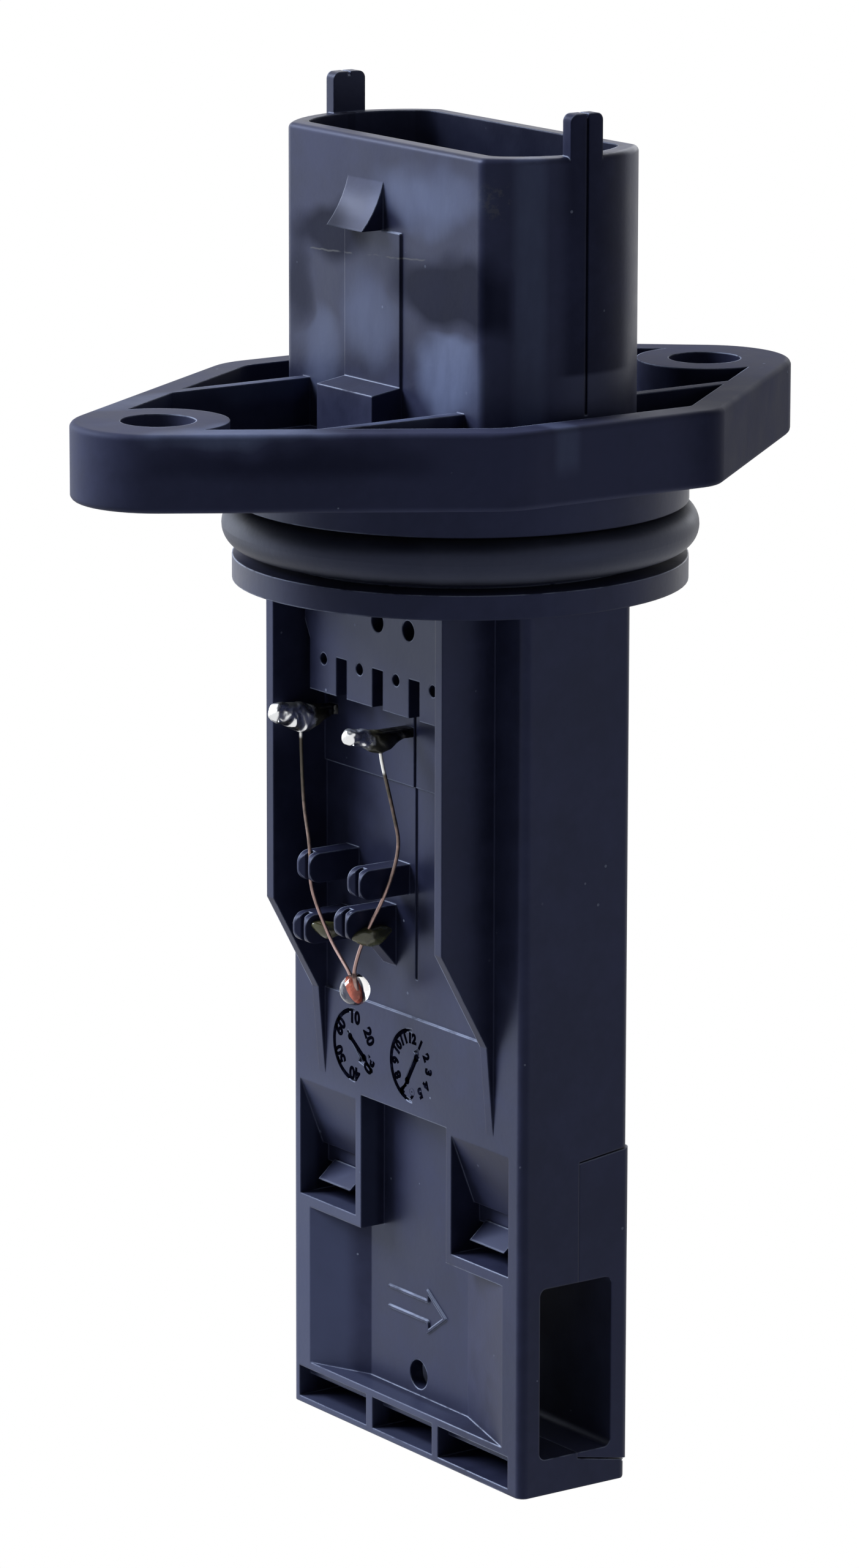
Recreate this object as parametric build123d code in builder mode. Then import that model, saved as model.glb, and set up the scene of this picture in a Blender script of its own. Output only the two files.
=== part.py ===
from build123d import *
import os
from math import pi, radians, tan

# Mass airflow sensor of the plug-in probe kind. Millimetres.
# X runs along the wide face in the direction of flow, the wide face with the air temperature bead looks
# towards -Y, and Z points up to the connector. The origin is on the spigot's axis, in the flange's underside.

os.makedirs("parts", exist_ok=True)

# Flange
flange_thickness = 5.0
flange_half_width = 16.8
bolt_front = 23.4  # bolt axes before and behind the spigot's axis, unequal so that it fits one way only
bolt_rear = 19.9
bolt_hole_diameter = 4.8
front_end_radius = 5.6
rear_end_radius = 5.75
front_corner_radius = 5.1
front_corner_y = -6.1
rear_corner_radius = 3.0
rear_corner_y = 7.3
flange_wall = 2.1
flange_floor = 1.8
bolt_pad_radius = 4.55
flange_rib_x = 8.7
flange_rib_thickness = 0.8
flange_edge_round = 0.4

# Spigot and seal
spigot_radius = 14.9
land_height = 2.25
groove_height = 3.7
collar_thickness = 1.6
groove_radius = 12.55
ring_section = 3.0
ring_seat_gap = 0.03

# Connector shroud
shroud_height = 21.5
shroud_half_width = 6.2
shroud_flat_half_length = 10.8
shroud_half_length = 13.7
shroud_wall = 1.2
shroud_rim_round = 0.4
shroud_corner_round = 0.8
socket_corner_round = 1.5
socket_floor = 6.2
key_width = 2.5
key_thickness = 0.95
key_root = 1.0
key_height = 24.2
key_round = 0.5
key_groove = 0.2
key_notch = 0.3
panel_left = -4.1
panel_right = 2.15
panel_proud = 0.15
latch_left = -3.9
latch_right = 0.1
latch_bottom = 15.7
latch_top = 18.8
latch_reach = 1.7
latch_waist = 0.6
block_reach = 2.3
block_height = 5.75
block_front_height = 5.4

# Terminals
terminal_count = 5
terminal_pitch = 3.6
terminal_width = 1.2
terminal_thickness = 0.64
terminal_top = 15.5
terminal_bottom = -14.4
terminal_point = 0.8

# Probe body
body_left = -13.5
body_right = 13.0
body_front = -4.2
body_rear = 4.4
body_tip = -66.4
body_corner_round = 0.6

# Bay for the air temperature bead
guard_half_span = 10.05
guard_thickness = 0.8
guard_front = -8.35
guard_full_end = -30.0
guard_slope_end = -36.6
guard_blade_front = -4.75
guard_blade_end = -42.6
comb_front = -6.3
comb_left = -8.2
comb_right = 7.7
comb_bottom = -15.75
comb_shoulder = 0.6
comb_shoulder_z = -12.3
comb_pitch = 4.15
comb_first_hole = -6.6
comb_hole_diameter = 0.8
comb_hole_z = -13.5
comb_notch_width = 1.2
comb_notch_height = 2.6
comb_core_diameter = 1.35
comb_core_x = (-0.4, 3.1)
comb_core_z = -10.0
comb_pocket_depth = 1.7
bay_step_z = -21.05
bay_step_depth = 0.15
bay_groove_x = 0.9
bay_groove_width = 0.25
bay_groove_end = -34.0

# Hooks that guide the bead's leads: place on the face, height
upper_hook_z = -27.35
upper_left_hook_x = -6.5
upper_right_hook_x = -0.65
lower_left_hook = (-7.0, -31.6)
lower_right_hook = (-2.2, -30.4)
hook_front = -8.0
hook_width = 1.5
hook_height = 2.0
hook_slot = 0.45
hook_slot_depth = 0.9
hook_mouth = 1.1
hook_mouth_depth = 0.5
hook_round = 0.85
gusset_height = 2.3
gusset_front = -5.9

# Air temperature bead, its posts and leads
post_width = 1.0
post_height = 0.6
post_z = -17.4
post_left_x = -8.5
post_right_x = 0.2
post_front = -8.9
solder_centre_y = -6.95
solder_half_length = 2.1
solder_radius = 0.95
solder_drop = 0.15
drop_roundness = 0.85
lead_diameter = 0.25
bead_centre = (-2.1, -6.9, -34.9)
bead_radius = 1.02
thermistor_width = 0.5
thermistor_depth = 0.5
thermistor_height = 1.0

# Clips and windows
window_bottom = -51.65
window_top = -43.6
window_left = (-12.5, -5.95)
window_right = (5.1, 11.5)
ramp_end = -48.4
ramp_end_depth = 1.85
lip_end = -49.75
lip_depth = 2.3
centre_left = -5.3
centre_right = 4.5
centre_top = -43.2
centre_depth = 1.9
clip_left = (-11.6, -7.9)
clip_right = (6.0, 9.8)
clip_thickness = 0.7
clip_bottom = -50.6
clip_head_top = -49.45
clip_front = -3.35
clip_gap = 0.1

# Flow duct, narrowed in the middle
split_y = 0.4
cover_top = -44.3
cover_top_rear = -43.8
cover_proud = 0.2
cover_proud_end = -51.0
duct_top = -52.4
duct_bottom = -64.0
duct_corner_round = 0.5
duct_front = -2.7
duct_rear = 3.05
throat_wall = 1.0
facet_left = (-11.4, -6.8)
facet_right = (4.4, 10.9)
facet_bottom = -63.35
rear_facet_depth = 0.4
foot_slope_front = -64.4
foot_slope_rear = -65.2
foot_round = 0.5
joint_gap = 0.1
tap_x = -1.25
tap_z = -61.9
tap_diameter = 2.0
arrow_left = -4.7
arrow_right = 2.0
arrow_z = -57.25
arrow_half_height = 0.8
arrow_head_length = 2.2
arrow_head_half_height = 1.55
arrow_line = 0.2
arrow_proud = 0.12

# Core-outs in the foot
core_spans = ((-12.65, -4.7), (-3.95, 2.95), (3.65, 11.55))
core_bottom = -66.0
core_mouth_top = -63.85
core_mouth_depth = 0.9
core_top = -64.6
core_depth = 7.0

# Date dials let into the face: place, and the pointer's angle
dials = (((-6.05, -39.95), -45), ((0.6, -39.9), 60))
dial_radius = 2.5
dial_line = 0.2
dial_depth = 0.15
pointer_length = 2.4
pointer_head = 0.45

# Measuring channel above the duct
channel_width = 2.2
channel_left = -4.6
channel_right = 4.0
channel_top = -46.2
channel_front = -1.3
channel_rear = 1.7

# Electronics chamber
chamber_left = -11.8
chamber_right = 11.3
chamber_top = -10.0
chamber_bottom = -42.6
chamber_floor = -1.6
terminal_bed_end = -14.8
lid_left = -12.5
lid_right = 12.0
lid_top = -9.0
lid_bottom = -43.2
lid_thickness = 1.0
lid_corner = 1.5
lid_gap = 0.1
board_left = -10.8
board_right = 10.3
board_top = -15.2
board_bottom = -42.0
board_front = 0.4
board_thickness = 0.8
board_rail_width = 1.2
board_rail_inset = 0.6
chip_side = 6.0
chip_height = 1.0
chip_centre = (-0.25, -27.0)
capacitor_size = (2.0, 1.25, 1.0)
capacitor_x = 7.0
capacitor_zs = (-22.0, -34.0)
resistor_size = (1.6, 0.8, 0.45)
resistor_count = 6
resistor_pitch = 2.4
resistor_z = -36.5
bond_side = 0.25
bond_span = 1.6
carrier_width = 5.0
carrier_thickness = 0.6
carrier_top = -38.0
carrier_bottom = -48.2
carrier_x = -0.3
carrier_gap = 0.1
element_width = 2.0
element_height = 1.4
element_thickness = 0.4
element_pocket = 0.2
element_z = -47.1

# Derived places
spigot_depth = land_height + groove_height + collar_thickness
groove_top = -land_height
groove_bottom = groove_top - groove_height
body_centre = (body_left + body_right) / 2
body_width = body_right - body_left
body_depth = body_rear - body_front
centre_face = body_front + centre_depth
throat_front = centre_face + throat_wall
rear_face = body_rear - rear_facet_depth
board_rear = board_front + board_thickness
lid_inner = body_rear - lid_thickness
terminal_xs = [terminal_pitch * (i - (terminal_count - 1) / 2) for i in range(terminal_count)]
guard_xs = (
    body_centre - guard_half_span + guard_thickness / 2,
    body_centre + guard_half_span - guard_thickness / 2,
)
posts = {"left": post_left_x, "right": post_right_x}
windows = {"left": window_left, "right": window_right}
clips = {"left": clip_left, "right": clip_right}
hooks = [
    (upper_left_hook_x, upper_hook_z),
    (upper_right_hook_x, upper_hook_z),
    lower_left_hook,
    lower_right_hook,
]


def span(low, high):
    # middle and length of a stretch
    return (low + high) / 2, high - low


def slab(xs, ys, zs, mode=Mode.ADD):
    # a plain block between three pairs of limits
    (x, dx), (y, dy), (z, dz) = span(*xs), span(*ys), span(*zs)
    with Locations((x, y, z)):
        Box(dx, dy, dz, mode=mode)


def drop(centre, radius, half_length):
    # a stub along the Y axis with rounded ends
    x, y, z = centre
    with BuildSketch(Plane.XY.offset(z)) as half_stub:
        with Locations((x, y)):
            RectangleRounded(2 * radius, 2 * half_length, drop_roundness * radius)
        with Locations((x - radius, y)):
            Rectangle(2 * radius, 3 * half_length, mode=Mode.SUBTRACT)
    revolve(half_stub.sketch, axis=Axis(origin=(x, 0, z), direction=(0, 1, 0)))


# Outlines seen from above
with BuildSketch() as flange_outline:
    with Locations((0, -bolt_front)):
        Circle(front_end_radius)
    with Locations((0, bolt_rear)):
        Circle(rear_end_radius)
    for side in (-1, 1):
        with Locations((side * (flange_half_width - front_corner_radius), front_corner_y)):
            Circle(front_corner_radius)
        with Locations((side * (flange_half_width - rear_corner_radius), rear_corner_y)):
            Circle(rear_corner_radius)
    make_hull()

with BuildSketch() as shroud_corners:
    with BuildLine():
        Line((-shroud_flat_half_length, -shroud_half_width), (shroud_flat_half_length, -shroud_half_width))
        ThreePointArc(
            (shroud_flat_half_length, -shroud_half_width),
            (shroud_half_length, 0),
            (shroud_flat_half_length, shroud_half_width),
        )
        Line((shroud_flat_half_length, shroud_half_width), (-shroud_flat_half_length, shroud_half_width))
        ThreePointArc(
            (-shroud_flat_half_length, shroud_half_width),
            (-shroud_half_length, 0),
            (-shroud_flat_half_length, -shroud_half_width),
        )
    make_face()

with BuildSketch() as shroud_outline:
    add(shroud_corners.sketch)
    fillet(shroud_outline.vertices(), shroud_corner_round)

with BuildSketch() as socket_outline:
    offset(shroud_corners.sketch, amount=-shroud_wall)
    fillet(socket_outline.vertices(), socket_corner_round)

# The duct's plan: wide mouths at both ends, a throat in the middle and a straight rear wall
with BuildSketch() as duct_plan:
    with BuildLine():
        Polyline(
            (body_left, duct_front),
            (facet_left[0], duct_front),
            (facet_left[1], throat_front),
            (facet_right[0], throat_front),
            (facet_right[1], duct_front),
            (body_right, duct_front),
            (body_right, duct_rear),
            (body_left, duct_rear),
            close=True,
        )
    make_face()

with BuildPart() as duct_space:
    with BuildSketch(Plane.XY.offset(duct_bottom)):
        add(duct_plan.sketch)
    extrude(amount=duct_top - duct_bottom)
    level_edges = duct_space.edges().filter_by(Plane.XY)
    fillet([edge for edge in level_edges if edge not in level_edges.filter_by(Axis.Y)], duct_corner_round)

# A U-shaped measuring channel rises from the duct, crosses over and comes back
with BuildSketch() as channel_outline:
    with BuildLine():
        Polyline(
            (channel_left, duct_top - joint_gap),
            (channel_left, channel_top),
            (channel_right, channel_top),
            (channel_right, duct_top - joint_gap),
            (channel_right - channel_width, duct_top - joint_gap),
            (channel_right - channel_width, channel_top - channel_width),
            (channel_left + channel_width, channel_top - channel_width),
            (channel_left + channel_width, duct_top - joint_gap),
            close=True,
        )
    make_face()

# The block that the channel cover fills, seen from the end of the probe
with BuildSketch() as cover_side:
    with BuildLine():
        Polyline(
            (split_y, cover_top),
            (split_y, foot_slope_front),
            (body_rear, foot_slope_rear),
            (body_rear, cover_top_rear),
            close=True,
        )
    make_face()

# Main housing: connector, flange, spigot and probe in one moulding
with BuildPart() as main_housing:
    with BuildSketch():
        add(flange_outline.sketch)
    extrude(amount=flange_thickness)
    fillet(main_housing.edges().group_by(Axis.Z)[-1], flange_edge_round)
    fillet(main_housing.edges().group_by(Axis.Z)[0], flange_edge_round)
    # pocket behind the flange's wall, open upwards, with pads round the bolt holes and four ribs
    with BuildSketch(Plane.XY.offset(flange_floor)):
        offset(flange_outline.sketch, amount=-flange_wall)
        with Locations((0, -bolt_front), (0, bolt_rear)):
            Circle(bolt_pad_radius, mode=Mode.SUBTRACT)
        add(shroud_outline.sketch, mode=Mode.SUBTRACT)
        with Locations((-flange_rib_x, 0), (flange_rib_x, 0)):
            Rectangle(flange_rib_thickness, 2 * (bolt_front + front_end_radius), mode=Mode.SUBTRACT)
    extrude(amount=flange_thickness, mode=Mode.SUBTRACT)
    with Locations((0, -bolt_front, 0), (0, bolt_rear, 0)):
        Hole(bolt_hole_diameter / 2)
    # connector shroud
    with BuildSketch(Plane.XY.offset(flange_floor)):
        add(shroud_outline.sketch)
    extrude(amount=shroud_height - flange_floor)
    fillet(main_housing.faces().sort_by(Axis.Z)[-1].outer_wire().edges(), shroud_rim_round)
    with BuildSketch(Plane.XY.offset(socket_floor)):
        add(socket_outline.sketch)
    extrude(amount=shroud_height, mode=Mode.SUBTRACT)
    # keys that stand above the rim at both ends
    for side in (-1, 1):
        with BuildSketch(Plane.XY.offset(shroud_height - key_root)):
            add(shroud_corners.sketch)
            with Locations((side * (shroud_half_length - key_thickness / 2), 0)):
                Rectangle(key_thickness, key_width, mode=Mode.INTERSECT)
        extrude(amount=key_height - shroud_height + key_root)
    fillet(main_housing.edges().group_by(Axis.Z)[-1].filter_by(Axis.X), key_round)
    # parting groove down both end walls, with a notch in the top of each key
    for side in (-1, 1):
        end_wall = side * shroud_half_length
        slab(
            (end_wall - key_groove, end_wall + key_groove),
            (-key_groove / 2, key_groove / 2),
            (flange_thickness, key_height),
            mode=Mode.SUBTRACT,
        )
        slab(
            (end_wall - key_thickness, end_wall + key_thickness),
            (-key_groove / 2, key_groove / 2),
            (key_height - key_notch, key_height),
            mode=Mode.SUBTRACT,
        )
    # panel, latch ramp and foot block on the shroud's front
    slab(
        (panel_left, panel_right),
        (-shroud_half_width - panel_proud, -shroud_half_width),
        (flange_floor, latch_bottom),
    )
    with BuildSketch(Plane.YZ.offset(latch_left)):
        with BuildLine():
            Polyline(
                (-shroud_half_width, latch_top),
                (-shroud_half_width, latch_bottom),
                (-shroud_half_width - latch_reach, latch_bottom),
            )
            ThreePointArc(
                (-shroud_half_width - latch_reach, latch_bottom),
                (-shroud_half_width - latch_waist, (latch_bottom + latch_top) / 2),
                (-shroud_half_width, latch_top),
            )
        make_face()
    extrude(amount=latch_right - latch_left)
    with BuildSketch(Plane.YZ.offset(panel_left)):
        with BuildLine():
            Polyline(
                (-shroud_half_width, flange_floor),
                (-shroud_half_width - block_reach, flange_floor),
                (-shroud_half_width - block_reach, block_front_height),
                (-shroud_half_width, block_height),
                close=True,
            )
        make_face()
    extrude(amount=panel_right - panel_left)
    # spigot with the groove for the seal and the collar under it
    with BuildSketch(Plane.XZ):
        with BuildLine():
            Polyline(
                (0, flange_floor),
                (spigot_radius, flange_floor),
                (spigot_radius, groove_top),
                (groove_radius, groove_top),
                (groove_radius, groove_bottom),
                (spigot_radius, groove_bottom),
                (spigot_radius, -spigot_depth),
                (0, -spigot_depth),
                close=True,
            )
        make_face()
    revolve(axis=Axis.Z)
    # probe body
    with BuildSketch(Plane.XY.offset(body_tip)):
        with Locations((body_centre, (body_front + body_rear) / 2)):
            RectangleRounded(body_width, body_depth, body_corner_round)
    extrude(amount=-spigot_depth - body_tip)
    # guards on both sides of the bead: full height, a slope, then a low blade
    for guard_x in guard_xs:
        with BuildSketch(Plane.YZ.offset(guard_x)):
            with BuildLine():
                Polyline(
                    (body_front, -spigot_depth),
                    (guard_front, -spigot_depth),
                    (guard_front, guard_full_end),
                    (guard_blade_front, guard_slope_end),
                    (body_front, guard_blade_end),
                    close=True,
                )
            make_face()
        extrude(amount=guard_thickness / 2, both=True)
    # comb plate under the collar
    with BuildSketch(Plane.XZ.offset(-body_front)):
        with BuildLine():
            Polyline(
                (comb_left - comb_shoulder, -spigot_depth),
                (comb_left - comb_shoulder, comb_shoulder_z + 2 * comb_shoulder),
                (comb_left, comb_shoulder_z),
                (comb_left, comb_bottom),
                (comb_right, comb_bottom),
                (comb_right, comb_shoulder_z),
                (comb_right + comb_shoulder, comb_shoulder_z + 2 * comb_shoulder),
                (comb_right + comb_shoulder, -spigot_depth),
                close=True,
            )
        make_face()
    extrude(amount=body_front - comb_front)
    with BuildSketch(Plane.XZ.offset(-comb_front)):
        with Locations([(comb_first_hole + i * comb_pitch, comb_hole_z) for i in range(4)]):
            Circle(comb_hole_diameter / 2)
        with Locations([(comb_first_hole + (i + 0.5) * comb_pitch, comb_bottom) for i in range(3)]):
            Rectangle(comb_notch_width, 2 * comb_notch_height)
        with Locations([(x, comb_core_z) for x in comb_core_x]):
            Circle(comb_core_diameter / 2)
    extrude(amount=-comb_pocket_depth, mode=Mode.SUBTRACT)
    # shallow step across the floor of the bay, and a groove down it
    slab(
        (guard_xs[0] + guard_thickness / 2, guard_xs[1] - guard_thickness / 2),
        (body_front, body_front + bay_step_depth),
        (guard_slope_end, bay_step_z),
        mode=Mode.SUBTRACT,
    )
    slab(
        (bay_groove_x - bay_groove_width / 2, bay_groove_x + bay_groove_width / 2),
        (body_front, body_front + 2 * bay_step_depth),
        (bay_groove_end, comb_bottom),
        mode=Mode.SUBTRACT,
    )
    # hooks for the leads: fins with a rounded front, slotted for the lead behind a flared mouth
    for hook_x, hook_z in hooks:
        hook_root = body_front + 2 * bay_step_depth
        with BuildSketch(Plane.YZ.offset(hook_x)) as hook_side:
            with Locations(((hook_front + hook_root) / 2, hook_z)):
                Rectangle(hook_root - hook_front, hook_height)
            fillet(hook_side.vertices().group_by(Axis.X)[0], hook_round)
        extrude(amount=hook_width / 2, both=True)
        with BuildSketch(Plane.XY.offset(hook_z)):
            with Locations((hook_x, hook_front + hook_slot_depth / 2)):
                Rectangle(hook_slot, hook_slot_depth)
            with BuildLine():
                Polyline(
                    (hook_x - hook_mouth / 2, hook_front),
                    (hook_x, hook_front + hook_mouth_depth),
                    (hook_x + hook_mouth / 2, hook_front),
                    close=True,
                )
            make_face()
        extrude(amount=hook_height, both=True, mode=Mode.SUBTRACT)
    # gusset under the lower right hook
    gusset_x, gusset_top = lower_right_hook[0], lower_right_hook[1] - hook_height / 2
    with BuildSketch(Plane.YZ.offset(gusset_x)):
        with BuildLine():
            Polyline(
                (body_front + 2 * bay_step_depth, gusset_top),
                (gusset_front, gusset_top),
                (body_front + 2 * bay_step_depth, gusset_top - gusset_height),
                close=True,
            )
        make_face()
    extrude(amount=hook_width / 2, both=True)
    # recessed centre panel, then the faceted recess outside the duct's throat
    slab(
        (centre_left, centre_right),
        (body_front, centre_face),
        (duct_top, centre_top),
        mode=Mode.SUBTRACT,
    )
    with BuildSketch(Plane.XY.offset(facet_bottom)):
        with BuildLine():
            Polyline(
                (facet_left[0], body_front),
                (facet_left[1], centre_face),
                (facet_right[0], centre_face),
                (facet_right[1], body_front),
                close=True,
            )
        make_face()
    extrude(amount=duct_top - facet_bottom, mode=Mode.SUBTRACT)
    # clip windows: a ramp that deepens downwards to an opening with a lip behind it
    for left, right in windows.values():
        with BuildSketch(Plane.YZ.offset(left)):
            with BuildLine():
                Polyline(
                    (body_front, window_top),
                    (body_front + ramp_end_depth, ramp_end),
                    (body_front + lip_depth, ramp_end),
                    (body_front + lip_depth, lip_end),
                    (split_y, lip_end),
                    (split_y, window_bottom),
                    (body_front, window_bottom),
                    close=True,
                )
            make_face()
        extrude(amount=right - left, mode=Mode.SUBTRACT)
    # room for the channel cover, the duct's front half and the measuring channel's front half
    with BuildSketch(Plane.YZ.offset(body_left)):
        add(cover_side.sketch)
    extrude(amount=body_width, mode=Mode.SUBTRACT)
    add(duct_space.part, mode=Mode.SUBTRACT)
    with BuildSketch(Plane.XZ.offset(-split_y)):
        add(channel_outline.sketch)
    extrude(amount=split_y - channel_front, mode=Mode.SUBTRACT)
    # pressure tap through the throat's wall, and a raised flow arrow
    with BuildSketch(Plane.XZ.offset(-centre_face)):
        with Locations((tap_x, tap_z)):
            Circle(tap_diameter / 2)
    extrude(amount=-throat_wall, mode=Mode.SUBTRACT)
    with BuildSketch(Plane.XZ.offset(-centre_face)):
        with BuildLine():
            Polyline(
                (arrow_left, arrow_z - arrow_half_height),
                (arrow_right - arrow_head_length, arrow_z - arrow_half_height),
                (arrow_right - arrow_head_length, arrow_z - arrow_head_half_height),
                (arrow_right, arrow_z),
                (arrow_right - arrow_head_length, arrow_z + arrow_head_half_height),
                (arrow_right - arrow_head_length, arrow_z + arrow_half_height),
                (arrow_left, arrow_z + arrow_half_height),
                close=True,
            )
        make_face()
        offset(amount=-arrow_line, mode=Mode.SUBTRACT)
        with Locations((arrow_left, arrow_z)):
            Rectangle(4 * arrow_line, 2 * (arrow_half_height - arrow_line), mode=Mode.SUBTRACT)
    extrude(amount=arrow_proud)
    # core-outs in the foot
    for span_x in core_spans:
        slab(
            span_x,
            (body_front, body_front + core_mouth_depth),
            (core_bottom, core_mouth_top),
            mode=Mode.SUBTRACT,
        )
        slab(
            span_x,
            (body_front, body_front + core_depth),
            (core_bottom, core_top),
            mode=Mode.SUBTRACT,
        )
    # rounded rear end of the foot
    with BuildSketch(Plane.YZ.offset(body_left)):
        for corner_z, inward in ((foot_slope_rear, -1), (body_tip, 1)):
            with Locations((body_rear - foot_round / 2, corner_z + inward * foot_round / 2)):
                Rectangle(foot_round, foot_round)
            with Locations((body_rear - foot_round, corner_z + inward * foot_round)):
                Circle(foot_round, mode=Mode.SUBTRACT)
    extrude(amount=body_width, mode=Mode.SUBTRACT)
    # date dials: half a ring and a pointer
    with BuildSketch(Plane.XZ.offset(-body_front)):
        for place, angle in dials:
            with Locations(place):
                Circle(dial_radius)
            with Locations(place):
                Circle(dial_radius - dial_line, mode=Mode.SUBTRACT)
            with Locations((place[0] + dial_radius, place[1])):
                Rectangle(2 * dial_radius, 2 * dial_radius, mode=Mode.SUBTRACT)
    extrude(amount=-dial_depth, mode=Mode.SUBTRACT)
    with BuildSketch(Plane.XZ.offset(-body_front)):
        for place, angle in dials:
            with Locations(Location((*place, 0), (0, 0, angle))):
                Rectangle(pointer_length, dial_line)
                with Locations((pointer_length / 2, 0)):
                    RegularPolygon(pointer_head, 3)
    extrude(amount=-dial_depth, mode=Mode.SUBTRACT)
    # electronics chamber from the rear: a bed for the terminals, rails for the board, a seat for the lid
    with BuildSketch(Plane.XZ.offset(-body_rear)):
        with Locations(((lid_left + lid_right) / 2, (lid_top + lid_bottom) / 2)):
            RectangleRounded(lid_right - lid_left, lid_top - lid_bottom, lid_corner)
    extrude(amount=lid_thickness, mode=Mode.SUBTRACT)
    slab(
        (chamber_left, chamber_right),
        (chamber_floor, lid_inner),
        (chamber_bottom, terminal_bed_end),
        mode=Mode.SUBTRACT,
    )
    slab(
        (chamber_left, chamber_right),
        (-terminal_thickness / 2, lid_inner),
        (terminal_bed_end, chamber_top),
        mode=Mode.SUBTRACT,
    )
    for rail_x in (board_left + board_rail_inset, board_right - board_rail_inset - board_rail_width):
        slab(
            (rail_x, rail_x + board_rail_width),
            (chamber_floor, board_front),
            (chamber_bottom, terminal_bed_end),
        )
    # slot for the sensor carrier between chamber and channel
    slab(
        (carrier_x - carrier_width / 2 - carrier_gap, carrier_x + carrier_width / 2 + carrier_gap),
        (board_front - carrier_thickness - carrier_gap, board_front),
        (channel_top, chamber_bottom),
        mode=Mode.SUBTRACT,
    )
    # passages for the terminals and the bead's posts
    for x in terminal_xs:
        slab(
            (x - terminal_width / 2, x + terminal_width / 2),
            (-terminal_thickness / 2, terminal_thickness / 2),
            (chamber_top, socket_floor),
            mode=Mode.SUBTRACT,
        )
    for x in posts.values():
        slab(
            (x - post_width / 2, x + post_width / 2),
            (body_front, chamber_floor),
            (post_z - post_height / 2, post_z + post_height / 2),
            mode=Mode.SUBTRACT,
        )
main_housing.part.label = "main_housing"
export_step(main_housing.part, "parts/main_housing.step")

# Seal in the spigot's groove, seated on the groove's floor
ring_radius = groove_radius + ring_seat_gap + ring_section / 2
ring_z = groove_top - (groove_height - ring_section) / 4 - ring_section / 2
with BuildPart() as o_ring:
    with BuildSketch(Plane.XZ):
        with Locations((ring_radius, ring_z)):
            Circle(ring_section / 2)
    revolve(axis=Axis.Z)
o_ring.part.label = "o_ring"
export_step(o_ring.part, "parts/o_ring.step")

# Channel cover: rear half of the duct and of the measuring channel, held by two clips
with BuildPart() as channel_cover:
    with BuildSketch(Plane.XY.offset(foot_slope_rear)):
        with Locations((body_centre, (body_front + body_rear + cover_proud) / 2)):
            RectangleRounded(body_width, body_depth + cover_proud, body_corner_round)
    extrude(amount=cover_top_rear - foot_slope_rear)
    with BuildSketch(Plane.YZ.offset(body_left)):
        with BuildLine():
            Polyline(
                (split_y, cover_top - joint_gap),
                (split_y, foot_slope_front + joint_gap),
                (body_rear, foot_slope_rear + joint_gap),
                (body_rear, cover_proud_end),
                (body_rear + cover_proud, cover_top_rear - joint_gap),
                close=True,
            )
        make_face()
    extrude(amount=body_width, mode=Mode.INTERSECT)
    with BuildSketch(Plane.XY.offset(foot_slope_rear)):
        with BuildLine():
            Polyline(
                (facet_left[0], body_rear),
                (facet_left[1], rear_face),
                (facet_right[0], rear_face),
                (facet_right[1], body_rear),
                close=True,
            )
        make_face()
    extrude(amount=duct_top - foot_slope_rear, mode=Mode.SUBTRACT)
    add(duct_space.part, mode=Mode.SUBTRACT)
    with BuildSketch(Plane.XZ.offset(-split_y)):
        add(channel_outline.sketch)
    extrude(amount=split_y - channel_rear, mode=Mode.SUBTRACT)
    # clips: an arm through the housing with a sloped head in front of the lip
    for left, right in clips.values():
        with BuildSketch(Plane.YZ.offset(left)):
            with BuildLine():
                Polyline(
                    (split_y, clip_bottom),
                    (clip_front, clip_bottom),
                    (body_front + lip_depth - clip_gap, clip_head_top),
                    (body_front + lip_depth - clip_gap, clip_bottom + clip_thickness),
                    (split_y, clip_bottom + clip_thickness),
                    close=True,
                )
            make_face()
        extrude(amount=right - left)
channel_cover.part.label = "channel_cover"
export_step(channel_cover.part, "parts/channel_cover.step")

# Lid over the electronics
with BuildPart() as electronics_cover:
    with BuildSketch(Plane.XZ.offset(-body_rear)):
        with Locations(((lid_left + lid_right) / 2, (lid_top + lid_bottom) / 2)):
            RectangleRounded(
                lid_right - lid_left - 2 * lid_gap,
                lid_top - lid_bottom - 2 * lid_gap,
                lid_corner - lid_gap,
            )
    extrude(amount=lid_thickness)
    fillet(electronics_cover.faces().sort_by(Axis.Y)[-1].edges(), lid_thickness / 4)
electronics_cover.part.label = "electronics_cover"
export_step(electronics_cover.part, "parts/electronics_cover.step")

# Circuit board on its rails
with BuildPart() as circuit_board:
    slab((board_left, board_right), (board_front, board_rear), (board_bottom, board_top))
circuit_board.part.label = "circuit_board"
export_step(circuit_board.part, "parts/circuit_board.step")

with BuildPart() as evaluation_chip:
    with Locations((chip_centre[0], board_rear + chip_height / 2, chip_centre[1])):
        Box(chip_side, chip_height, chip_side)
    chamfer(evaluation_chip.faces().sort_by(Axis.Y)[-1].edges(), chip_height / 5)
evaluation_chip.part.label = "evaluation_chip"
export_step(evaluation_chip.part, "parts/evaluation_chip.step")

capacitor_places = [(side * capacitor_x, z) for side in (-1, 1) for z in capacitor_zs]
with BuildPart() as board_capacitors:
    with Locations([(x, board_rear + capacitor_size[2] / 2, z) for x, z in capacitor_places]):
        Box(capacitor_size[0], capacitor_size[2], capacitor_size[1])
board_capacitors.part.label = "board_capacitors"
export_step(board_capacitors.part, "parts/board_capacitors.step")

resistor_xs = [resistor_pitch * (i - (resistor_count - 1) / 2) for i in range(resistor_count)]
with BuildPart() as board_resistors:
    with Locations([(x, board_rear + resistor_size[2] / 2, resistor_z) for x in resistor_xs]):
        Box(resistor_size[0], resistor_size[2], resistor_size[1])
board_resistors.part.label = "board_resistors"
export_step(board_resistors.part, "parts/board_resistors.step")

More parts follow.
